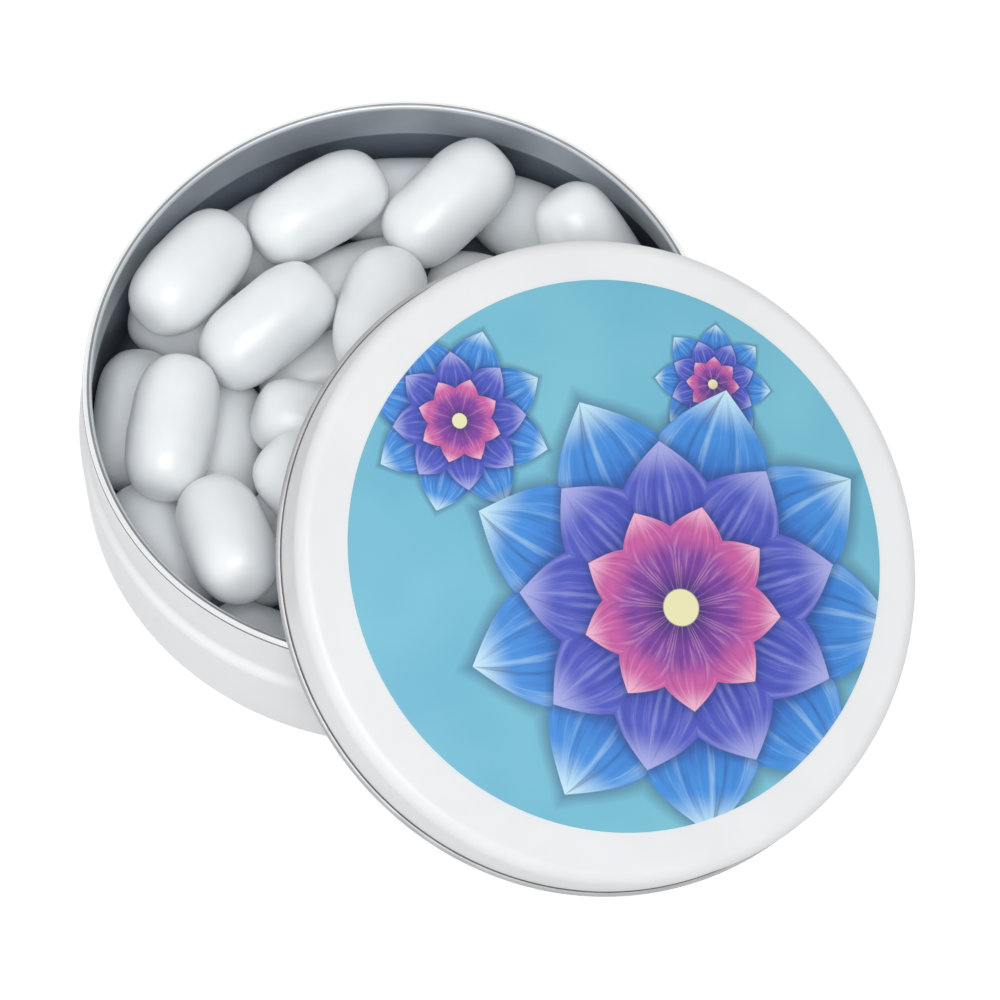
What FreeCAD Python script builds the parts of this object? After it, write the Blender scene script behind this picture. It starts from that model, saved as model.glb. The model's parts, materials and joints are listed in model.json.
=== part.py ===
"""Round slip-lid mint tin, open, with its lid leaning on the rim and two layers of mints inside.

The tin stands on the table at z = 0 with its axis on Z. The lid slopes down towards +X.
"""
import FreeCAD, Part
import math
import os

# Tin body of drawn tinplate, in millimetres and degrees.
tin_diameter = 50.0       # across the wall, and across the lid's rolled edge, which is flush with it
tin_height = 14.3         # table to the top of the rim
sheet = 0.22              # thickness of the tinplate
bottom_corner = 1.9       # outside radius between the bottom and the wall
shoulder_turn = 60.0      # turn of each of the shoulder's two arcs
rim_roll_hollow = 0.31    # width of the hollow inside the rolled rim

# Lid of the same tinplate.
lid_height = 5.05         # face to the lower edge of the skirt
lid_corner = 1.1          # outside radius between the face and the skirt
lid_roll_hollow = 0.11    # width of the hollow inside the skirt's rolled edge
lid_clearance = 0.13      # between the neck and the skirt, all round
lid_seat_gap = 0.15       # between the shoulder and the rolled edge of the closed lid

# Round label on the lid's face.
label_diameter = 42.2
label_thickness = 0.1
label_shift = 0.5         # label's centre to the side of the lid's centre

# The open lid: its low edge is on the table, and it leans on the rim.
lid_lean = 25.4           # slope of the face
lid_side = -2.14          # lid's centre to the side of the tin's axis
table_gap = 0.05          # under the lid's low edge
lean_gap = 0.15           # between the rim and the lid that leans on it

# Mints: barrels with round ends.
mint_length = 11.6
mint_width = 6.8
mint_swell = 0.08         # how much the middle's radius is larger than that of the ends
mint_gap = 0.12           # between a mint and what it lies against
layer_rise = 5.85         # from one layer of mints to the next, before they settle

# Where each mint is dropped: shares of the inside radius in X and Y, layer, heading and slope.
# The mints that show come first, and those under the lid last.
mint_places = [
    (-0.850, -0.080, 1.0, 98, -5),
    (-0.666, 0.359, 1.0, 68, 0),
    (-0.371, 0.630, 1.0, 100, 5),
    (-0.520, -0.056, 1.0, 46, 0),
    (-0.488, -0.525, 1.0, 121, 20),
    (-0.238, 0.222, 1.0, 132, -8),
    (-0.080, -0.680, 1.0, 122, -33),
    (-0.799, 0.291, 0.0, 72, 0),
    (-0.573, 0.630, 0.0, 42, 0),
    (-0.202, 0.819, 0.0, 14, 0),
    (0.105, 0.831, 0.4, -4, -30),
    (-0.097, 0.549, 0.0, 20, 0),
    (-0.533, 0.347, 0.0, 72, 0),
    (-0.775, -0.065, 0.0, 38, 0),
    (-0.690, -0.492, 0.0, 125, 0),
    (-0.412, -0.484, 0.0, 122, 0),
    (-0.395, 0.032, 0.0, 80, 0),
    (-0.178, -0.194, 0.1, 0, 0),
    (0.040, -0.400, 0.8, 22, 0),
    (-0.400, -0.750, 0.0, 150, 0),
    (-0.081, -0.589, 0.0, 110, 0),
    (0.198, -0.799, 0.0, 14, 0),
    (0.589, -0.613, 0.0, 45, 0),
    (0.819, -0.226, 0.0, 75, 0),
    (0.819, 0.238, 0.0, 106, 0),
    (0.577, 0.621, 0.0, 137, 0),
    (0.178, 0.307, 0.0, 20, 0),
    (0.266, -0.492, 0.0, 120, 0),
    (0.508, 0.161, 0.0, 85, 0),
    (0.517, -0.291, 0.0, 80, 0),
    (0.210, -0.048, 0.0, 120, 0),
    (0.299, 0.541, 1.0, 60, 0),
    (0.412, -0.581, 1.0, 100, 0),
    (0.105, 0.097, 1.0, 150, 0),
    (0.404, -0.202, 1.0, 30, 0),
    (0.678, -0.097, 1.0, 85, 0),
    (0.589, 0.307, 1.0, 115, 0),
]

# How the mints settle: a round is one small step of all of them.
fall_rounds = 500         # rounds in which the mints fall
rest_rounds = 600         # most rounds after that, in which they only part
drop_rounds = 340         # rounds a mint would need to fall by its own width at its first speed
fall_slowest = 0.3        # share of that speed in the last round
place_pull = 0.06         # share of the way back to its place that a mint is drawn in a round
gap_parts = 30            # a gap between two mints may lack one of this many parts of it

# Sizes that follow from those.
tin_radius = tin_diameter / 2
rim_roll = rim_roll_hollow + 2 * sheet
lid_roll = lid_roll_hollow + 2 * sheet
neck_radius = tin_radius - lid_roll - lid_clearance
rim_roll_height = tin_height - rim_roll / 2
lid_roll_height = lid_roll / 2 - lid_height
lid_reach = tin_radius - lid_roll / 2
skirt_radius = lid_reach - lid_roll_hollow / 2
shoulder_radius = (tin_radius - neck_radius) / (2 - 2 * math.cos(math.radians(shoulder_turn)))
shoulder_top = tin_height + sheet - lid_height - lid_seat_gap
shoulder_bottom = shoulder_top - 2 * shoulder_radius * math.sin(math.radians(shoulder_turn))
mint_radius = mint_width / 2
mint_half_axis = mint_length / 2 - mint_radius
mint_floor = sheet + mint_gap + mint_radius
fall_step = mint_width / drop_rounds
gap_tolerance = mint_gap / gap_parts

origin = FreeCAD.Vector(0, 0, 0)
x_axis = FreeCAD.Vector(1, 0, 0)
y_axis = FreeCAD.Vector(0, 1, 0)
z_axis = FreeCAD.Vector(0, 0, 1)


def point(across, height):
    """A point of a profile: distance from the axis, and height."""
    return FreeCAD.Vector(across, 0, height)


def arc(centre, radius, start, end):
    """Arc of a profile from one angle to another, in degrees from the outward direction."""
    spots = []
    for angle in (start, (start + end) / 2, end):
        turned = math.radians(angle)
        spots.append(centre + point(radius * math.cos(turned), radius * math.sin(turned)))
    return Part.Arc(*spots).toShape()


def profile_face(edges, axis_end, axis_start):
    """Face of a profile whose edges run from the axis, round the sheet and back to the axis.

    An edge is an arc, or None for the straight line between its neighbours."""
    whole = []
    last = axis_start
    for place, edge in enumerate(edges):
        if edge is None:
            following = edges[place + 1:place + 2]
            goal = following[0].firstVertex(True).Point if following else axis_end
            edge = Part.makeLine(last, goal)
        whole.append(edge)
        last = edge.lastVertex(True).Point
    whole.append(Part.makeLine(axis_end, axis_start))
    return Part.Face(Part.Wire(whole))


def turned_solid(face, axis):
    """Solid of revolution of a profile's face."""
    return face.revolve(origin, axis, 360)


def make_tin_base():
    """Flat bottom, wall, shoulder and neck of one drawn sheet, with the rim rolled inwards."""
    corner = point(tin_radius - bottom_corner, bottom_corner)
    lower = point(tin_radius - shoulder_radius, shoulder_bottom)
    upper = point(neck_radius + shoulder_radius, shoulder_top)
    rim = point(neck_radius - rim_roll / 2, rim_roll_height)
    turn = shoulder_turn
    edges = [
        None,
        arc(corner, bottom_corner, -90, 0),
        None,
        arc(lower, shoulder_radius, 0, turn),
        arc(upper, shoulder_radius, 180 + turn, 180),
        None,
        arc(rim, rim_roll / 2, 0, 270),
        None,
        arc(rim, rim_roll_hollow / 2, 270, 0),
        None,
        arc(upper, shoulder_radius + sheet, 180, 180 + turn),
        arc(lower, shoulder_radius - sheet, turn, 0),
        None,
        arc(corner, bottom_corner - sheet, 0, -90),
        None,
    ]
    return turned_solid(profile_face(edges, point(0, sheet), origin), z_axis)


def make_lid():
    """Flat face and skirt, with the skirt's lower edge rolled outwards; its face is at z = 0."""
    corner = point(skirt_radius - lid_corner, -lid_corner)
    edge = point(lid_reach, lid_roll_height)
    edges = [
        None,
        arc(corner, lid_corner, 90, 0),
        None,
        arc(edge, lid_roll_hollow / 2, 180, 450),
        None,
        arc(edge, lid_roll / 2, 90, -180),
        None,
        arc(corner, lid_corner - sheet, 0, 90),
        None,
    ]
    return turned_solid(profile_face(edges, point(0, -sheet), origin), z_axis)


def make_label():
    """Thin disc on the lid's face."""
    return Part.makeCylinder(label_diameter / 2, label_thickness, y_axis * label_shift, z_axis)


def lid_pose(across):
    """Place of the leaning lid with its centre this far from the tin's axis."""
    lean = math.radians(lid_lean)
    drop = lid_reach * math.sin(lean) - lid_roll_height * math.cos(lean) + lid_roll / 2
    centre = FreeCAD.Vector(across, lid_side, table_gap + drop)
    return FreeCAD.Placement(centre, FreeCAD.Rotation(y_axis, lid_lean))


def rim_gap(lid, across):
    """Gap between the rolled rim and the leaning lid, at or below zero where they meet."""
    rim = Part.makeCircle(neck_radius - rim_roll / 2, z_axis * rim_roll_height)
    posed = lid.copy()
    posed.Placement = lid_pose(across)
    return posed.distToShape(rim)[0] - rim_roll / 2


def leaning_pose(lid):
    """Place of the lid after it is slid in towards the tin until it leans on the rim."""
    near = 0.0
    far = tin_diameter
    while far - near > gap_tolerance:
        middle = (near + far) / 2
        if rim_gap(lid, middle) > lean_gap:
            far = middle
        else:
            near = middle
    return lid_pose(far)


def make_mint():
    """Barrel with round ends along X: a swelling side between two smaller spheres."""
    end_radius = mint_radius - mint_swell
    end_centre = mint_length / 2 - end_radius
    sink = (end_centre ** 2 - mint_swell ** 2) / (2 * mint_swell)
    side_radius = mint_radius + sink
    side_turn = math.degrees(math.atan2(sink, end_centre))
    edges = [
        arc(point(end_centre, 0), end_radius, 0, side_turn),
        arc(point(0, -sink), side_radius, side_turn, 180 - side_turn),
        arc(point(-end_centre, 0), end_radius, 180 - side_turn, 180),
    ]
    return turned_solid(profile_face(edges, point(-mint_length / 2, 0), point(mint_length / 2, 0)), x_axis)


def start_ends(place):
    """The two axis ends of a mint at its place, before it settles."""
    share_x, share_y, layer, heading, slope = place
    inside = tin_radius - sheet
    height = mint_floor + layer * layer_rise
    centre = FreeCAD.Vector(share_x * inside, share_y * inside, height)
    flat = math.cos(math.radians(slope))
    along_x = flat * math.cos(math.radians(heading))
    along_y = flat * math.sin(math.radians(heading))
    along = FreeCAD.Vector(along_x, along_y, math.sin(math.radians(slope)))
    return [centre - along * mint_half_axis, centre + along * mint_half_axis]


def clamp(share):
    """A share kept between 0 and 1."""
    return min(1.0, max(0.0, share))


def axis_link(mint, other):
    """Line between two mints' axes where they are closest, and its places along the axes."""
    along = mint[1] - mint[0]
    other_along = other[1] - other[0]
    apart = mint[0] - other[0]
    across = along.dot(other_along)
    length = along.dot(along)
    other_length = other_along.dot(other_along)
    spread = length * other_length - across * across
    share = 0.5
    if spread > 0:
        share = clamp((across * other_along.dot(apart) - other_length * along.dot(apart)) / spread)
    other_share = clamp((across * share + other_along.dot(apart)) / other_length)
    share = clamp((across * other_share - along.dot(apart)) / length)
    link = other[0] + other_along * other_share - mint[0] - along * share
    return link, share, other_share


def push_apart(mint, other):
    """Moves two mints apart where they are closer than their gap, and gives what was missing."""
    link, share, other_share = axis_link(mint, other)
    missing = mint_width + mint_gap - link.Length
    if missing <= 0:
        return 0.0
    weight = (1 - share) ** 2 + share ** 2 + (1 - other_share) ** 2 + other_share ** 2
    move = link * (missing / (weight * link.Length))
    mint[0] -= move * (1 - share)
    mint[1] -= move * share
    other[0] += move * (1 - other_share)
    other[1] += move * other_share
    return missing


def ring_room(ring_inside, ring_bottom, height):
    """Largest distance from the axis of a mint's end that passes under or inside a narrower ring."""
    below = max(0.0, ring_bottom - height)
    if below >= mint_radius:
        return tin_radius
    return ring_inside - math.sqrt(mint_radius ** 2 - below ** 2)


def mint_room(height):
    """Largest distance from the axis of a mint whose higher end is at this height.

    A mint in the neck is clear of the rim's roll too, so that it lifts straight out."""
    wall_room = tin_radius - sheet - mint_radius
    neck_room = ring_room(neck_radius - rim_roll, shoulder_top, height)
    return min(wall_room, neck_room) - mint_gap


def keep_inside(mint):
    """Brings a mint back inside the tin; it may stand out above the rim."""
    for end in mint:
        end.z = max(mint_floor, end.z)
    room = mint_room(max(mint[0].z, mint[1].z))
    for end in mint:
        shrink = min(1.0, room / math.hypot(end.x, end.y))
        end.x *= shrink
        end.y *= shrink


def lid_push(spot):
    """Move that takes a spot of a mint's axis clear of the leaning lid's face and skirt."""
    local = open_pose.inverse().multVec(spot)
    outward = FreeCAD.Vector(local.x, local.y, 0).normalize()
    across = local.dot(outward)
    on_face = outward * min(across, lid_reach)
    on_skirt = outward * lid_reach + z_axis * min(0.0, max(lid_roll_height, local.z))
    away = min(local - on_face, local - on_skirt, key=lambda step: step.Length)
    missing = mint_radius + lid_roll / 2 + mint_gap - away.Length
    return open_pose.Rotation.multVec(away.normalize() * max(0.0, missing))


def keep_off_lid(mint):
    """Pushes a mint off the leaning lid, and gives what was missing."""
    missing = 0.0
    for share in (0.0, 0.5, 1.0):
        push = lid_push(mint[0] * (1 - share) + mint[1] * share)
        mint[0] += push
        mint[1] += push
        missing = max(missing, push.Length)
    return missing


def keep_length(mint):
    """Gives a mint's axis its length back."""
    along = mint[1] - mint[0]
    stretch = along * (0.5 - mint_half_axis / along.Length)
    mint[0] += stretch
    mint[1] -= stretch


def let_fall(mint, place, ease):
    """Lowers a mint, and draws it a little back to its place and slope."""
    rise = (mint[0].z + mint[1].z - place[0].z - place[1].z) / 2
    fall = z_axis * (fall_step * (fall_slowest + (1 - fall_slowest) * ease))
    for end in (0, 1):
        goal = place[end] + z_axis * rise
        mint[end] += (goal - mint[end]) * (place_pull * ease) - fall


def part_mints(mints):
    """One round in which every mint is pushed off the others, the lid and the tin."""
    missing = 0.0
    for place, mint in enumerate(mints):
        for other in mints[place + 1:]:
            if (mint[0] + mint[1] - other[0] - other[1]).Length < 2 * (mint_length + mint_gap):
                missing = max(missing, push_apart(mint, other))
    for mint in mints:
        if max(mint[0].z, mint[1].z) + mint_radius > tin_height - mint_gap:
            missing = max(missing, keep_off_lid(mint))
        keep_length(mint)
        keep_inside(mint)
    return missing


def settle(places):
    """Lets the mints fall and part, and gives them with what is still missing of a gap."""
    mints = [start_ends(place) for place in places]
    starts = [start_ends(place) for place in places]
    for step in range(fall_rounds):
        ease = 1 - step / fall_rounds
        for mint, start in zip(mints, starts):
            let_fall(mint, start, ease)
        part_mints(mints)
    missing = part_mints(mints)
    for step in range(rest_rounds):
        if missing > gap_tolerance:
            missing = part_mints(mints)
    return mints, missing


def settled_mints():
    """The mints at rest. The last places stay empty where the tin has no room for them."""
    places = list(mint_places)
    mints, missing = settle(places)
    while missing > gap_tolerance:
        places.pop()
        mints, missing = settle(places)
    return mints


def least_mint_gap(mints):
    """Smallest gap between any two mints' outlines."""
    gaps = []
    for place, mint in enumerate(mints):
        for other in mints[place + 1:]:
            gaps.append(axis_link(mint, other)[0].Length - mint_width)
    return min(gaps)


def place_mint(shape, ends):
    """Copy of the mint with its axis on the line between the two ends."""
    copy = shape.copy()
    copy.Placement = FreeCAD.Placement((ends[0] + ends[1]) / 2, FreeCAD.Rotation(x_axis, ends[1] - ends[0]))
    return copy


def write_node(name, shape):
    """Writes one piece to its own file."""
    shape.exportStep("parts/" + name + ".step")


os.makedirs("parts", exist_ok=True)
write_node("tin_base", make_tin_base())

lid_shape = make_lid()
label_shape = make_label()
open_pose = leaning_pose(lid_shape)
lid_shape.Placement = open_pose
label_shape.Placement = open_pose.multiply(label_shape.Placement)
write_node("lid", lid_shape)
write_node("lid_label", label_shape)

mint_shape = make_mint()
mint_rests = settled_mints()
for number, rest in enumerate(mint_rests, start=1):
    write_node("mint_%02d" % number, place_mint(mint_shape, rest))

print("lid's centre", open_pose.Base, "gap to the rim", rim_gap(make_lid(), open_pose.Base.x))
print("mints", len(mint_rests), "least gap between two", least_mint_gap(mint_rests))
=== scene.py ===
"""Round mint tin with its lid leaning on the rim and a heap of mints inside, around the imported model."""

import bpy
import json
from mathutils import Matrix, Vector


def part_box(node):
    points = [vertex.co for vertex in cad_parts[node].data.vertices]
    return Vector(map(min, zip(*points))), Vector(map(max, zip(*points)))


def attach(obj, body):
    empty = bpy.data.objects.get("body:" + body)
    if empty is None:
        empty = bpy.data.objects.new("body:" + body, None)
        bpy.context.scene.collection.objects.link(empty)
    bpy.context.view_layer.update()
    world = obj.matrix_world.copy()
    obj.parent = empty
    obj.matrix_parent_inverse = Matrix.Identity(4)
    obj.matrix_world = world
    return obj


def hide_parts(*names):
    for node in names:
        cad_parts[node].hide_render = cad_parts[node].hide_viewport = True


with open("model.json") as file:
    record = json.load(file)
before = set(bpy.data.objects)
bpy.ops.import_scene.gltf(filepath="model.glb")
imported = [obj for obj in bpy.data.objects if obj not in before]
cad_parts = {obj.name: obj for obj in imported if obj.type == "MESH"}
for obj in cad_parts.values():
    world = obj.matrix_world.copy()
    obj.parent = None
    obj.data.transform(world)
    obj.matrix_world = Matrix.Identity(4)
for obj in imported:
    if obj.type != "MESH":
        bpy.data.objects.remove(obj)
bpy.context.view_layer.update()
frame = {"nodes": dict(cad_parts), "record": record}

import bpy
import json
import math
from mathutils import Matrix, Quaternion, Vector

# Tin base
# The real piece is one sheet of tinplate, drawn to a shallow cup with a shoulder and a narrower neck.
# It is lacquered white outside and bare inside, and its top edge is rolled inwards.
mm = 0.001
sheet = 0.22 * mm
tin_radius = 25.0 * mm
tin_height = 14.3 * mm
bottom_corner = 1.9 * mm
shoulder_radius = 0.68 * mm
shoulder_turn = 60.0
shoulder_top = 9.32 * mm
shoulder_bottom = shoulder_top - 2 * shoulder_radius * math.sin(math.radians(shoulder_turn))
neck_radius = 24.32 * mm
rim_roll = 0.375 * mm
rim_hollow = rim_roll - sheet
turn_steps = 288
corner_steps = 12
shoulder_steps = 6
roll_steps = 18
hollow_steps = 12
weld = 0.002 * mm
crease = math.radians(40)


def arc_spots(across, height, radius, start, end, count):
    """Spots of a profile's arc, from one angle to another in degrees from the outward direction."""
    spots = []
    for step in range(count + 1):
        angle = math.radians(start + (end - start) * step / count)
        spots.append((across + radius * math.cos(angle), height + radius * math.sin(angle)))
    return spots


def turn_profile(name, spots, steps):
    """Draws a profile from spot to spot, spins it about Z, and closes its seam and poles."""
    bpy.ops.object.select_all(action="DESELECT")
    bpy.ops.mesh.primitive_plane_add(size=mm)
    piece = bpy.context.object
    piece.name = name
    bpy.ops.object.mode_set(mode="EDIT")
    bpy.ops.mesh.select_all(action="SELECT")
    bpy.ops.mesh.merge(type="CENTER")
    bpy.ops.transform.translate(value=(spots[0][0], 0, spots[0][1]))
    for last, spot in zip(spots, spots[1:]):
        step = (spot[0] - last[0], 0, spot[1] - last[1])
        bpy.ops.mesh.extrude_vertices_move(TRANSFORM_OT_translate={"value": step})
    bpy.ops.mesh.select_all(action="SELECT")
    bpy.ops.mesh.spin(steps=steps, angle=math.tau, center=(0, 0, 0), axis=(0, 0, 1))
    bpy.ops.mesh.select_all(action="SELECT")
    bpy.ops.mesh.remove_doubles(threshold=weld)
    bpy.ops.mesh.normals_make_consistent(inside=False)
    bpy.ops.object.mode_set(mode="OBJECT")
    bpy.ops.object.shade_smooth_by_angle(angle=crease)
    return piece


def paint(hex_colour):
    """Linear colour of an sRGB hex value."""
    parts = [int(hex_colour[place:place + 2], 16) / 255 for place in (1, 3, 5)]
    return [part / 12.92 if part <= 0.04045 else ((part + 0.055) / 1.055) ** 2.4 for part in parts] + [1.0]


def new_material(name):
    """New material with an empty node tree, and that tree."""
    material = bpy.data.materials.new(name)
    material.use_nodes = True
    material.node_tree.nodes.clear()
    return material, material.node_tree


def add_node(tree, kind, settings={}, links={}):
    """Adds a node, sets its sockets, properties and the stops of its ramp, and links what feeds it."""
    node = tree.nodes.new(kind)
    for name, value in settings.items():
        if name == "stops":
            for number, (position, colour) in enumerate(value):
                stops = node.color_ramp.elements
                stop = stops[number] if number < 2 else stops.new(position)
                stop.position = position
                stop.color = paint(colour)
        elif isinstance(name, int) or name in node.inputs:
            node.inputs[name].default_value = value
        else:
            setattr(node, name, value)
    for name, source in links.items():
        tree.links.new(source, node.inputs[name])
    return node


def finish_material(tree, shader):
    """Links a shader to the material's output."""
    add_node(tree, "ShaderNodeOutputMaterial", links={"Surface": shader.outputs[0]})


# White can lacquer: rolled on and baked, so it has a soft sheen with a faint orange peel about half a
# millimetre across, and its tone and sheen vary a little over a few millimetres.
peel_size = 0.5 * mm
patch_size = 7 * mm
lacquer, tree = new_material("baked_white_can_lacquer")
place = add_node(tree, "ShaderNodeTexCoord")
cloud = add_node(tree, "ShaderNodeTexNoise", {"Scale": 1 / patch_size, "Detail": 3.0},
                 {"Vector": place.outputs["Object"]})
tone = add_node(tree, "ShaderNodeValToRGB", {"stops": [(0.3, "#e6e7e9"), (0.7, "#ebecec")]},
                {"Fac": cloud.outputs["Fac"]})
gloss = add_node(tree, "ShaderNodeMapRange", {"To Min": 0.42, "To Max": 0.52},
                 {"Value": cloud.outputs["Fac"]})
peel = add_node(tree, "ShaderNodeTexNoise", {"Scale": 1 / peel_size, "Detail": 2.0},
                {"Vector": place.outputs["Object"]})
bump = add_node(tree, "ShaderNodeBump", {"Strength": 0.03, "Distance": 0.02 * mm},
                {"Height": peel.outputs["Fac"]})
shader = add_node(tree, "ShaderNodeBsdfPrincipled",
                  {"IOR": 1.5, "Coat Weight": 0.15, "Coat Roughness": 0.3},
                  {"Base Color": tone.outputs["Color"], "Roughness": gloss.outputs["Result"],
                   "Normal": bump.outputs["Normal"]})
finish_material(tree, shader)


def bare_metal(name, dark, pale, smooth, rough):
    """Bare sheet metal with the fine lines of the mill and a light mottle of the tin's crystals."""
    mill_width = 0.25 * mm
    mill_run = (0.02, 1.0, 1.0)
    crystal_size = 3 * mm
    metal, tree = new_material(name)
    place = add_node(tree, "ShaderNodeTexCoord")
    along_mill = add_node(tree, "ShaderNodeMapping", {"Scale": mill_run},
                          {"Vector": place.outputs["Object"]})
    mill = add_node(tree, "ShaderNodeTexNoise", {"Scale": 1 / mill_width, "Detail": 2.0},
                    {"Vector": along_mill.outputs["Vector"]})
    mottle = add_node(tree, "ShaderNodeTexNoise", {"Scale": 1 / crystal_size, "Detail": 4.0},
                      {"Vector": place.outputs["Object"]})
    tone = add_node(tree, "ShaderNodeValToRGB", {"stops": [(0.3, dark), (0.7, pale)]},
                    {"Fac": mottle.outputs["Fac"]})
    gloss = add_node(tree, "ShaderNodeMapRange", {"To Min": smooth, "To Max": rough},
                     {"Value": mill.outputs["Fac"]})
    bump = add_node(tree, "ShaderNodeBump", {"Strength": 0.08, "Distance": 0.01 * mm},
                    {"Height": mill.outputs["Fac"]})
    shader = add_node(tree, "ShaderNodeBsdfPrincipled", {"Metallic": 1.0},
                      {"Base Color": tone.outputs["Color"], "Roughness": gloss.outputs["Result"],
                       "Normal": bump.outputs["Normal"]})
    finish_material(tree, shader)
    return metal


# Tinplate is steel with a thin coat of tin, and shines softly as rolled. Low inside the tin, below the
# shoulder and on its floor, the metal is painted darker as shade. On the crest of the rim it is smoother,
# and its paler colour there is a painted highlight. Beside the crest two thin lines are painted dark as
# shade, and the lid's roll and the slit above it are painted darker as shade.
tinplate = bare_metal("bare_rolled_tinplate", "#c9cfd5", "#d3d8dd", 0.52, 0.64)
shade_darkened_steel = bare_metal("shade_darkened_drawn_steel", "#969ea8", "#a2a9b2", 0.42, 0.54)
crest_metal_painted_highlight = bare_metal("smooth_tinplate_crest_painted_highlight", "#e9ebec", "#f0f1f2", 0.12, 0.2)
shade_line_steel = bare_metal("painted_shade_line_steel", "#868687", "#929293", 0.46, 0.58)
shade_darkened_lid_roll = bare_metal("shade_darkened_rolled_edge", "#a9a9aa", "#b5b5b6", 0.5, 0.62)

corner_across = tin_radius - bottom_corner
lower_across = tin_radius - shoulder_radius
upper_across = neck_radius + shoulder_radius
rim_across = neck_radius - rim_roll
rim_height = tin_height - rim_roll
outside = [(0, 0), (corner_across / 2, 0)]
outside += arc_spots(corner_across, bottom_corner, bottom_corner, -90, 0, corner_steps)
outside += arc_spots(lower_across, shoulder_bottom, shoulder_radius, 0, shoulder_turn, shoulder_steps)
outside += arc_spots(upper_across, shoulder_top, shoulder_radius,
                     180 + shoulder_turn, 180, shoulder_steps)[1:]
roll = arc_spots(rim_across, rim_height, rim_roll, 0, 270, roll_steps)
inside = arc_spots(rim_across, rim_height, rim_hollow, 270, 0, hollow_steps)
inside += arc_spots(upper_across, shoulder_top, shoulder_radius + sheet,
                    180, 180 + shoulder_turn, shoulder_steps)
inside += arc_spots(lower_across, shoulder_bottom, shoulder_radius - sheet,
                    shoulder_turn, 0, shoulder_steps)[1:]
inside += arc_spots(corner_across, bottom_corner, bottom_corner - sheet, 0, -90, corner_steps)
inside += [(corner_across / 2, sheet), (0, sheet)]
tin_body = turn_profile("tin_body", outside + roll + inside, turn_steps)

# The finishes in the order of their slots. Round the rim's roll, in degrees from the outward side, a dark
# line of painted shade ends at the first angle below, the crest with its painted highlight at the second,
# and a second dark line of painted shade at the third.
in_lacquer, in_tinplate, in_shade_darkened_steel, in_crest_painted_highlight, in_shade_line_steel = range(5)
for finish in (lacquer, tinplate, shade_darkened_steel, crest_metal_painted_highlight, shade_line_steel):
    tin_body.data.materials.append(finish)
outer_shade_line_end = 30.0
crest_end = 90.0
inner_shade_line_end = 120.0
roll_end = 270.0
# What decides a face's finish: how near it is to the roll, in radii, and how far its normal leans.
roll_skin = 1.03
least_outward = 0.02
least_upward = 0.3
least_flat = 0.5
for face in tin_body.data.polygons:
    outward = Vector((face.center.x, face.center.y, 0))
    across, rise = outward.length - rim_across, face.center.z - rim_height
    round_roll = math.degrees(math.atan2(rise, across)) % 360
    on_roll = math.hypot(across, rise) < rim_roll * roll_skin and (round_roll < roll_end or across < 0)
    on_floor = face.normal.z > least_upward and sheet / 2 < face.center.z < shoulder_bottom
    faces_out = face.normal.dot(outward.normalized()) > least_outward or face.normal.z < -least_flat
    face.material_index = in_lacquer
    # The crest's pale metal is a painted highlight, and the dark lines either side of it are painted shade.
    if on_roll and outer_shade_line_end < round_roll < crest_end:
        face.material_index = in_crest_painted_highlight
    elif on_roll:
        face.material_index = in_shade_line_steel if round_roll < inner_shade_line_end else in_tinplate
    # Inside, below the shoulder and on the floor, the darker steel is painted shade.
    elif on_floor:
        face.material_index = in_shade_darkened_steel
    elif not faces_out:
        face.material_index = in_tinplate if face.center.z > shoulder_top else in_shade_darkened_steel
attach(tin_body, "tin")
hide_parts("tin_base")

# Lid
# The real piece is a second sheet of tinplate, drawn to a flat cap with a short skirt that slips over
# the neck. Its lower edge is rolled outwards, with a slit above the roll. It is lacquered like the base.
lid_height = 5.05 * mm
lid_corner = 1.1 * mm
lid_corner_steps = 16
lid_roll = 0.275 * mm
lid_hollow = lid_roll - sheet
trim_height = 0.3 * mm
lid_lean = math.radians(25.4)
label_shift = 0.5 * mm
label_thickness = 0.1 * mm

label_low, label_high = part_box("lid_label")
label_middle = (label_low + label_high) / 2
label_local = Vector((0, label_shift, label_thickness / 2))
lid_centre = label_middle - Matrix.Rotation(lid_lean, 3, "Y") @ label_local
roll_across = tin_radius - lid_roll
roll_height = lid_roll - lid_height
skirt_radius = roll_across - lid_hollow
corner_across = skirt_radius - lid_corner
trim_top = roll_height + lid_roll + trim_height
outside = [(0, 0), (corner_across / 2, 0)]
outside += arc_spots(corner_across, -lid_corner, lid_corner, 90, 0, lid_corner_steps)
outside += [(skirt_radius, trim_top)]
roll = arc_spots(roll_across, roll_height, lid_hollow, 180, 450, hollow_steps)
roll += arc_spots(roll_across, roll_height, lid_roll, 90, -180, roll_steps)
inside = arc_spots(corner_across, -lid_corner, lid_corner - sheet, 0, 90, lid_corner_steps)
inside += [(corner_across / 2, -sheet), (0, -sheet)]
lid_shell = turn_profile("lid_shell", outside + roll + inside, turn_steps)

in_lacquer, in_tinplate, in_shade_darkened_lid_roll = range(3)
for finish in (lacquer, tinplate, shade_darkened_lid_roll):
    lid_shell.data.materials.append(finish)
for face in lid_shell.data.polygons:
    outward = Vector((face.center.x, face.center.y, 0))
    across, rise = outward.length - roll_across, face.center.z - roll_height
    on_roll = math.hypot(across, rise) < lid_roll * roll_skin
    faces_out = face.normal.dot(outward.normalized()) > least_outward or face.normal.z > least_flat
    in_slit = across < 0 and faces_out and roll_height < face.center.z < trim_top
    face.material_index = in_lacquer
    # The roll and the slit above it take a darker metal, which is painted shade.
    if in_slit or on_roll:
        face.material_index = in_shade_darkened_lid_roll
    elif not faces_out:
        face.material_index = in_tinplate


def lean_with_lid(piece):
    """Tips a piece made at the origin to the lid's lean, and puts it at the lid's place."""
    bpy.ops.object.select_all(action="DESELECT")
    piece.select_set(True)
    bpy.context.view_layer.objects.active = piece
    piece.rotation_euler = (0, lid_lean, 0)
    piece.location = lid_centre
    bpy.ops.object.transform_apply(location=True, rotation=True, scale=False)


lean_with_lid(lid_shell)
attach(lid_shell, "lid")
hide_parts("lid")

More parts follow.
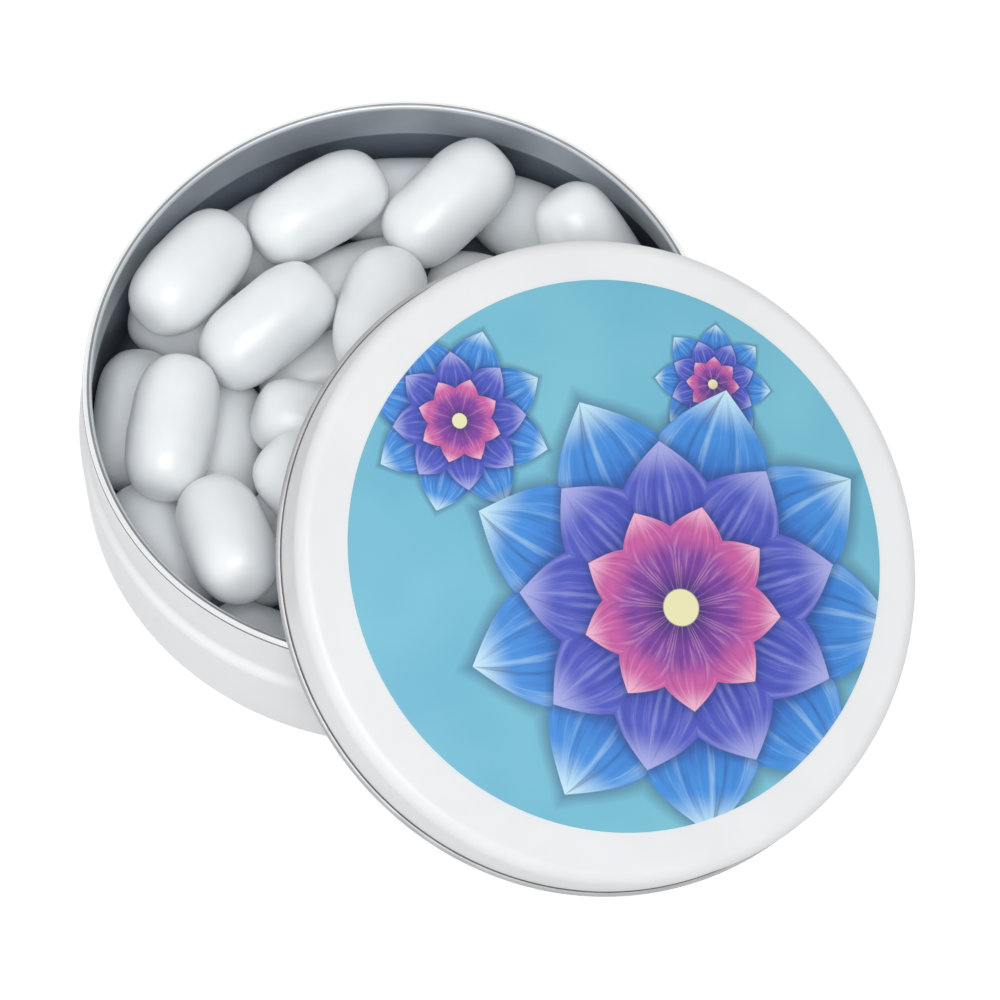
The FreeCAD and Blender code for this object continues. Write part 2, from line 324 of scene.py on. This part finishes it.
# Label
# The real piece is a round printed film that is stuck on the lid's face with a white margin round it.
# It is cut from a thin sheet, so its edge is square with a slight rounding at the top.
label_radius = 21.1 * mm
label_rounding = 0.04 * mm
bpy.ops.object.select_all(action="DESELECT")
bpy.ops.mesh.primitive_cylinder_add(vertices=turn_steps, radius=label_radius, depth=label_thickness,
                                    end_fill_type="NGON", location=label_local)
label_disc = bpy.context.object
label_disc.name = "label_disc"
bpy.ops.object.transform_apply(location=True, rotation=False, scale=False)
bpy.ops.object.mode_set(mode="EDIT")
bpy.ops.mesh.select_all(action="DESELECT")
bpy.ops.object.mode_set(mode="OBJECT")
for face in label_disc.data.polygons:
    face.select = face.normal.z > least_flat
bpy.ops.object.mode_set(mode="EDIT")
bpy.ops.mesh.bevel(offset=label_rounding, segments=3)
bpy.ops.object.mode_set(mode="OBJECT")
bpy.ops.object.shade_smooth_by_angle(angle=crease)
lean_with_lid(label_disc)

# Printed film: inks under a satin laminate, so the colours are clear with a soft even sheen. The print
# is a spray of layered flowers on sky blue, whose petals shade along their length and in fine strokes.
# It is drawn in label radii from the label's middle.
film, tree = new_material("printed_label_film")
place = add_node(tree, "ShaderNodeTexCoord")
on_label = add_node(tree, "ShaderNodeMapping",
                    {"vector_type": "TEXTURE", "Location": label_middle, "Rotation": (0, lid_lean, 0),
                     "Scale": [label_radius] * 3}, {"Vector": place.outputs["Object"]})
wash = add_node(tree, "ShaderNodeTexNoise", {"Scale": 1.6, "Detail": 2.0},
                {"Vector": on_label.outputs["Vector"]})
sky = add_node(tree, "ShaderNodeValToRGB", {"stops": [(0.35, "#6bb3cc"), (0.68, "#7abfd2")]},
               {"Fac": wash.outputs["Fac"]})
# Socket numbers of a colour mix: its factor, the colour under, the colour over, and its result.
factor, under, over, mixed = 0, 6, 7, 2


def petal_ring(ground, distance, angle, count, turn, reach, width, inks, strokes):
    """Lays a ring of pointed petals over the ground's colour, with a soft shade under their edges."""
    half_share = math.pi / count
    widest = 1.35
    edge_blur = 0.002
    shade_reach = 0.09 * reach
    shade_depth = 0.55
    stroke_run = (3.2, 0.9, 1.0)
    turned = add_node(tree, "ShaderNodeMath", {"operation": "ADD", 1: turn}, {0: angle})
    bearing = add_node(tree, "ShaderNodeMath", {"operation": "WRAP", 1: half_share, 2: -half_share},
                       {0: turned.outputs[0]})
    cosine = add_node(tree, "ShaderNodeMath", {"operation": "COSINE"}, {0: bearing.outputs[0]})
    sine = add_node(tree, "ShaderNodeMath", {"operation": "SINE"}, {0: bearing.outputs[0]})
    along = add_node(tree, "ShaderNodeMath", {"operation": "MULTIPLY"}, {0: distance, 1: cosine.outputs[0]})
    across = add_node(tree, "ShaderNodeMath", {"operation": "MULTIPLY"}, {0: distance, 1: sine.outputs[0]})
    share = add_node(tree, "ShaderNodeMath", {"operation": "DIVIDE", 1: reach, "use_clamp": True},
                     {0: along.outputs[0]})
    bulge = add_node(tree, "ShaderNodeMath", {"operation": "POWER", 1: widest}, {0: share.outputs[0]})
    swing = add_node(tree, "ShaderNodeMath", {"operation": "MULTIPLY", 1: math.pi}, {0: bulge.outputs[0]})
    shape = add_node(tree, "ShaderNodeMath", {"operation": "SINE"}, {0: swing.outputs[0]})
    half_width = add_node(tree, "ShaderNodeMath", {"operation": "MULTIPLY", 1: width},
                          {0: shape.outputs[0]})
    off_axis = add_node(tree, "ShaderNodeMath", {"operation": "ABSOLUTE"}, {0: across.outputs[0]})
    past_tip = add_node(tree, "ShaderNodeMath", {"operation": "SUBTRACT", 1: reach, "use_clamp": True},
                        {0: along.outputs[0]})
    outside_edge = add_node(tree, "ShaderNodeMath", {"operation": "ADD"},
                            {0: off_axis.outputs[0], 1: past_tip.outputs[0]})
    inside_edge = add_node(tree, "ShaderNodeMath", {"operation": "SUBTRACT"},
                           {0: half_width.outputs[0], 1: outside_edge.outputs[0]})
    cover = add_node(tree, "ShaderNodeMapRange", {"From Min": -edge_blur, "From Max": edge_blur},
                     {"Value": inside_edge.outputs[0]})
    shade = add_node(tree, "ShaderNodeMapRange",
                     {"From Min": -shade_reach, "From Max": 0.0, "To Max": shade_depth},
                     {"Value": inside_edge.outputs[0]})
    side = add_node(tree, "ShaderNodeMath", {"operation": "DIVIDE"},
                    {0: across.outputs[0], 1: half_width.outputs[0]})
    ink = add_node(tree, "ShaderNodeValToRGB", {"stops": inks}, {"Fac": share.outputs[0]})
    ink.color_ramp.interpolation = "EASE"
    on_petal = add_node(tree, "ShaderNodeCombineXYZ", {"Z": strokes},
                        {"X": side.outputs[0], "Y": share.outputs[0]})
    along_strokes = add_node(tree, "ShaderNodeMapping", {"Scale": stroke_run},
                             {"Vector": on_petal.outputs[0]})
    stroke = add_node(tree, "ShaderNodeTexNoise", {"Scale": 1.7, "Detail": 4.0, "Roughness": 0.6},
                      {"Vector": along_strokes.outputs[0]})
    light = add_node(tree, "ShaderNodeMapRange", {"From Min": 0.52, "From Max": 0.72, "To Max": 0.48},
                     {"Value": stroke.outputs["Fac"]})
    dark = add_node(tree, "ShaderNodeMapRange", {"From Min": 0.46, "From Max": 0.28, "To Max": 0.55},
                    {"Value": stroke.outputs["Fac"]})
    lit = add_node(tree, "ShaderNodeMix", {"data_type": "RGBA", over: paint(inks[-1][1])},
                   {factor: light.outputs[0], under: ink.outputs["Color"]})
    deep = add_node(tree, "ShaderNodeMix", {"data_type": "RGBA", over: paint(inks[0][1])},
                    {factor: dark.outputs[0], under: lit.outputs[mixed]})
    shaded = add_node(tree, "ShaderNodeMix", {"data_type": "RGBA", over: paint("#1d2f66")},
                      {factor: shade.outputs[0], under: ground})
    laid = add_node(tree, "ShaderNodeMix", {"data_type": "RGBA"},
                    {factor: cover.outputs[0], under: shaded.outputs[mixed], over: deep.outputs[mixed]})
    return laid.outputs[mixed]


def bloom(ground, middle, size, petals, turn):
    """Lays a flower of three rings of petals and a pale heart over the ground's colour."""
    blues = [(0.15, "#101c55"), (0.5, "#1e4fae"), (0.8, "#3f8ad8"), (1.0, "#c4e6f5")]
    violets = [(0.15, "#15184f"), (0.45, "#27379a"), (0.75, "#4a55bb"), (1.0, "#a9ade4")]
    pinks = [(0.1, "#35206e"), (0.45, "#7b3a9a"), (0.75, "#c45a9f"), (1.0, "#f0b6cf")]
    heart_outside = 0.085
    heart_inside = 0.078
    step = math.pi / petals
    spot = add_node(tree, "ShaderNodeMapping",
                    {"vector_type": "TEXTURE", "Location": (*middle, 0), "Scale": [size] * 3},
                    {"Vector": on_label.outputs["Vector"]})
    flat = add_node(tree, "ShaderNodeVectorMath", {"operation": "MULTIPLY", 1: (1, 1, 0)},
                    {0: spot.outputs["Vector"]})
    from_heart = add_node(tree, "ShaderNodeVectorMath", {"operation": "LENGTH"},
                          {0: flat.outputs["Vector"]})
    distance = from_heart.outputs["Value"]
    axes = add_node(tree, "ShaderNodeSeparateXYZ", links={0: flat.outputs["Vector"]})
    bearing = add_node(tree, "ShaderNodeMath", {"operation": "ARCTAN2"},
                       {0: axes.outputs["Y"], 1: axes.outputs["X"]})
    angle = bearing.outputs[0]
    colour = petal_ring(ground, distance, angle, petals, turn,
                        reach=1.0, width=0.29, inks=blues, strokes=1.0 + turn)
    colour = petal_ring(colour, distance, angle, petals, turn + step,
                        reach=0.74, width=0.22, inks=violets, strokes=2.0 + turn)
    colour = petal_ring(colour, distance, angle, petals, turn,
                        reach=0.46, width=0.14, inks=pinks, strokes=3.0 + turn)
    heart = add_node(tree, "ShaderNodeMapRange", {"From Min": heart_outside, "From Max": heart_inside},
                     {"Value": distance})
    flower = add_node(tree, "ShaderNodeMix", {"data_type": "RGBA", over: paint("#e9e3b4")},
                      {factor: heart.outputs[0], under: colour})
    return flower.outputs[mixed]


fibre_size = 0.3 * mm
print_colour = bloom(sky.outputs["Color"], middle=(-0.74, -0.06), size=0.34, petals=8, turn=0.3)
print_colour = bloom(print_colour, middle=(-0.16, 0.72), size=0.22, petals=8, turn=0.1)
print_colour = bloom(print_colour, middle=(0.30, 0.03), size=0.82, petals=9, turn=0.0)
fibre = add_node(tree, "ShaderNodeTexNoise", {"Scale": 1 / fibre_size, "Detail": 2.0},
                 {"Vector": place.outputs["Object"]})
gloss = add_node(tree, "ShaderNodeMapRange", {"To Min": 0.34, "To Max": 0.46},
                 {"Value": fibre.outputs["Fac"]})
bump = add_node(tree, "ShaderNodeBump", {"Strength": 0.04, "Distance": 0.01 * mm},
                {"Height": fibre.outputs["Fac"]})
shader = add_node(tree, "ShaderNodeBsdfPrincipled", {"IOR": 1.48},
                  {"Base Color": print_colour, "Roughness": gloss.outputs["Result"],
                   "Normal": bump.outputs["Normal"]})
finish_material(tree, shader)
label_disc.data.materials.append(film)
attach(label_disc, "lid")
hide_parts("lid_label")

# Mints
# The real pieces are pressed pills that were tumbled in sugar syrup until a smooth hard shell grew on
# them, so each is a barrel with round ends, slightly uneven, and white with a soft gloss.
mint_length = 11.6 * mm
mint_radius = 3.48 * mm
fullness = 3.0
outline_steps = 60
mint_turn_steps = 64
lump_size = 3.5 * mm
lump_depth = 0.2 * mm
barrel = []
for step in range(outline_steps + 1):
    angle = math.pi * step / outline_steps
    along = math.copysign(abs(math.cos(angle)) ** (2 / fullness), math.cos(angle)) * mint_length / 2
    barrel.append((max(math.sin(angle), 0.0) ** (2 / fullness) * mint_radius, along))
mint_pattern = turn_profile("mint_pattern", barrel, mint_turn_steps)
lumps = bpy.data.textures.new("tumbled_lumps", "CLOUDS")
lumps.noise_scale = lump_size
bpy.ops.object.modifier_add(type="DISPLACE")
tumbling = mint_pattern.modifiers[-1]
tumbling.texture = lumps
tumbling.mid_level = 1.0
tumbling.strength = lump_depth
bpy.ops.object.modifier_apply(modifier=tumbling.name)

# Polished sugar shell: hard white sugar that lets a little light in, with a soft sheen from the wax it
# was tumbled with, and a fine grain about half a millimetre across.
grain_size = 0.6 * mm
shell_patch = 4 * mm
light_depth = 2.2 * mm
sugar, tree = new_material("polished_sugar_shell")
place = add_node(tree, "ShaderNodeTexCoord")
cloud = add_node(tree, "ShaderNodeTexNoise", {"Scale": 1 / shell_patch, "Detail": 3.0},
                 {"Vector": place.outputs["Object"]})
tone = add_node(tree, "ShaderNodeValToRGB", {"stops": [(0.3, "#eceff1"), (0.7, "#f2f5f7")]},
                {"Fac": cloud.outputs["Fac"]})
gloss = add_node(tree, "ShaderNodeMapRange", {"To Min": 0.38, "To Max": 0.46},
                 {"Value": cloud.outputs["Fac"]})
grain = add_node(tree, "ShaderNodeTexNoise", {"Scale": 1 / grain_size, "Detail": 2.0},
                 {"Vector": place.outputs["Object"]})
bump = add_node(tree, "ShaderNodeBump", {"Strength": 0.08, "Distance": 0.03 * mm},
                {"Height": grain.outputs["Fac"]})
shader = add_node(tree, "ShaderNodeBsdfPrincipled",
                  {"IOR": 1.5, "Subsurface Weight": 0.8, "Subsurface Scale": light_depth,
                   "Subsurface Radius": (1.0, 1.0, 1.0), "Coat Weight": 0.6, "Coat Roughness": 0.28},
                  {"Base Color": tone.outputs["Color"], "Roughness": gloss.outputs["Result"],
                   "Normal": bump.outputs["Normal"]})
finish_material(tree, shader)
mint_pattern.data.materials.append(sugar)

# Each mint lies along its solid's longest line, turned about it by a further step so that no two show
# the same lumps.
lump_turn = math.radians(137.5)
mint_nodes = sorted(name for name in frame["nodes"] if name.startswith("mint_"))
bodies = frame["record"]["behaviour"]["bodies"]
mint_bodies = {node: body for body, nodes in bodies.items() for node in nodes}
for number, node in enumerate(mint_nodes, start=1):
    spots = [vertex.co for vertex in frame["nodes"][node].data.vertices]
    middle = sum(spots, Vector()) / len(spots)
    first = max(spots, key=lambda spot: (spot - middle).length)
    last = max(spots, key=lambda spot: (spot - first).length)
    bpy.ops.object.select_all(action="DESELECT")
    mint_pattern.select_set(True)
    bpy.context.view_layer.objects.active = mint_pattern
    bpy.ops.object.duplicate(linked=False)
    mint = bpy.context.object
    mint.name = "sugar_mint_%02d" % number
    mint.rotation_mode = "QUATERNION"
    own_turn = Quaternion((0, 0, 1), lump_turn * number)
    mint.rotation_quaternion = (last - first).to_track_quat("Z", "Y") @ own_turn
    mint.location = (first + last) / 2
    bpy.ops.object.transform_apply(location=True, rotation=True, scale=False)
    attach(mint, mint_bodies[node])
    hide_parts(node)
bpy.data.objects.remove(mint_pattern)

# Table top and studio
# A plain pale table under soft studio light, with the camera at the photograph's viewing angle. The
# floor's glow lifts it to white for the camera and for gloss, and leaves the tin's shadow on it.
floor_size = 8.0
floor_drop = 0.02 * mm
floor_glow = 0.6
bpy.ops.object.select_all(action="DESELECT")
bpy.ops.mesh.primitive_plane_add(size=floor_size, location=(0, 0, -floor_drop))
floor = bpy.context.object
floor.name = "studio_floor"
matt, tree = new_material("matt_white_board")
light_path = add_node(tree, "ShaderNodeLightPath")
board = add_node(tree, "ShaderNodeBsdfDiffuse", {"Color": paint("#cdcdcd")})
seen = add_node(tree, "ShaderNodeMath", {"operation": "MAXIMUM"},
                {0: light_path.outputs["Is Camera Ray"], 1: light_path.outputs["Is Glossy Ray"]})
lift = add_node(tree, "ShaderNodeMath", {"operation": "MULTIPLY", 1: floor_glow}, {0: seen.outputs[0]})
glow = add_node(tree, "ShaderNodeEmission", links={"Strength": lift.outputs[0]})
lit_board = add_node(tree, "ShaderNodeAddShader", links={0: board.outputs[0], 1: glow.outputs[0]})
finish_material(tree, lit_board)
floor.data.materials.append(matt)

fill_strength = 0.44
backdrop_strength = 1.0
world = bpy.data.worlds.new("studio")
bpy.context.scene.world = world
world.use_nodes = True
tree = world.node_tree
tree.nodes.clear()
light_path = add_node(tree, "ShaderNodeLightPath")
seen = add_node(tree, "ShaderNodeMath", {"operation": "MAXIMUM"},
                {0: light_path.outputs["Is Camera Ray"], 1: light_path.outputs["Is Glossy Ray"]})
seen_or_through = add_node(tree, "ShaderNodeMath", {"operation": "MAXIMUM"},
                           {0: seen.outputs[0], 1: light_path.outputs["Is Transmission Ray"]})
fill = add_node(tree, "ShaderNodeBackground", {"Color": paint("#ffffff"), "Strength": fill_strength})
backdrop = add_node(tree, "ShaderNodeBackground",
                    {"Color": paint("#ffffff"), "Strength": backdrop_strength})
both = add_node(tree, "ShaderNodeMixShader",
                links={0: seen_or_through.outputs[0], 1: fill.outputs[0], 2: backdrop.outputs[0]})
add_node(tree, "ShaderNodeOutputWorld", links={"Surface": both.outputs[0]})

# Square lamps of cool white light that look at the tin: each one's way from it, its distance and size in
# metres, its power in watts, and whether it shows in gloss.
tin_middle = Vector((10, 0, 8)) * mm
lamp_colour = paint("#fcfeff")[:3]
for name, way, distance, size, power, mirrored in (
        ("camera_softbox", Vector((0.311, -0.326, 0.893)), 0.75, 0.36, 2.95, True),
        ("left_softbox", Vector((-0.4, -0.85, 0.35)), 0.7, 0.5, 0.85, False),
        ("right_softbox", Vector((0.85, -0.1, 0.5)), 0.7, 0.5, 0.4, False),
        ("back_softbox", Vector((-0.35, 0.85, 0.35)), 0.7, 0.5, 0.55, False)):
    lamp = bpy.data.lights.new(name, "AREA")
    lamp.size = size
    lamp.energy = power
    lamp.color = lamp_colour
    holder = bpy.data.objects.new(name, lamp)
    bpy.context.scene.collection.objects.link(holder)
    holder.visible_glossy = mirrored
    holder.location = tin_middle + way.normalized() * distance
    holder.rotation_euler = (-way).to_track_quat("-Z", "Y").to_euler()

# The camera's place and its three axes, found from the outlines of the tin and the lid.
camera_data = bpy.data.cameras.new("photo_camera")
camera_data.sensor_width = 36.0
camera_data.lens = 288.35
camera = bpy.data.objects.new("photo_camera", camera_data)
bpy.context.scene.collection.objects.link(camera)
eye = Vector((201.521, -201.325, 556.410)) * mm
right = Vector((0.766044, 0.641984, -0.032147))
up = Vector((-0.562653, 0.693884, 0.449384))
back = Vector((0.310804, -0.326161, 0.892760))
camera.matrix_world = Matrix.Translation(eye) @ Matrix((right, up, back)).transposed().to_4x4()
bpy.context.scene.camera = camera
bpy.context.scene.view_settings.view_transform = "Standard"
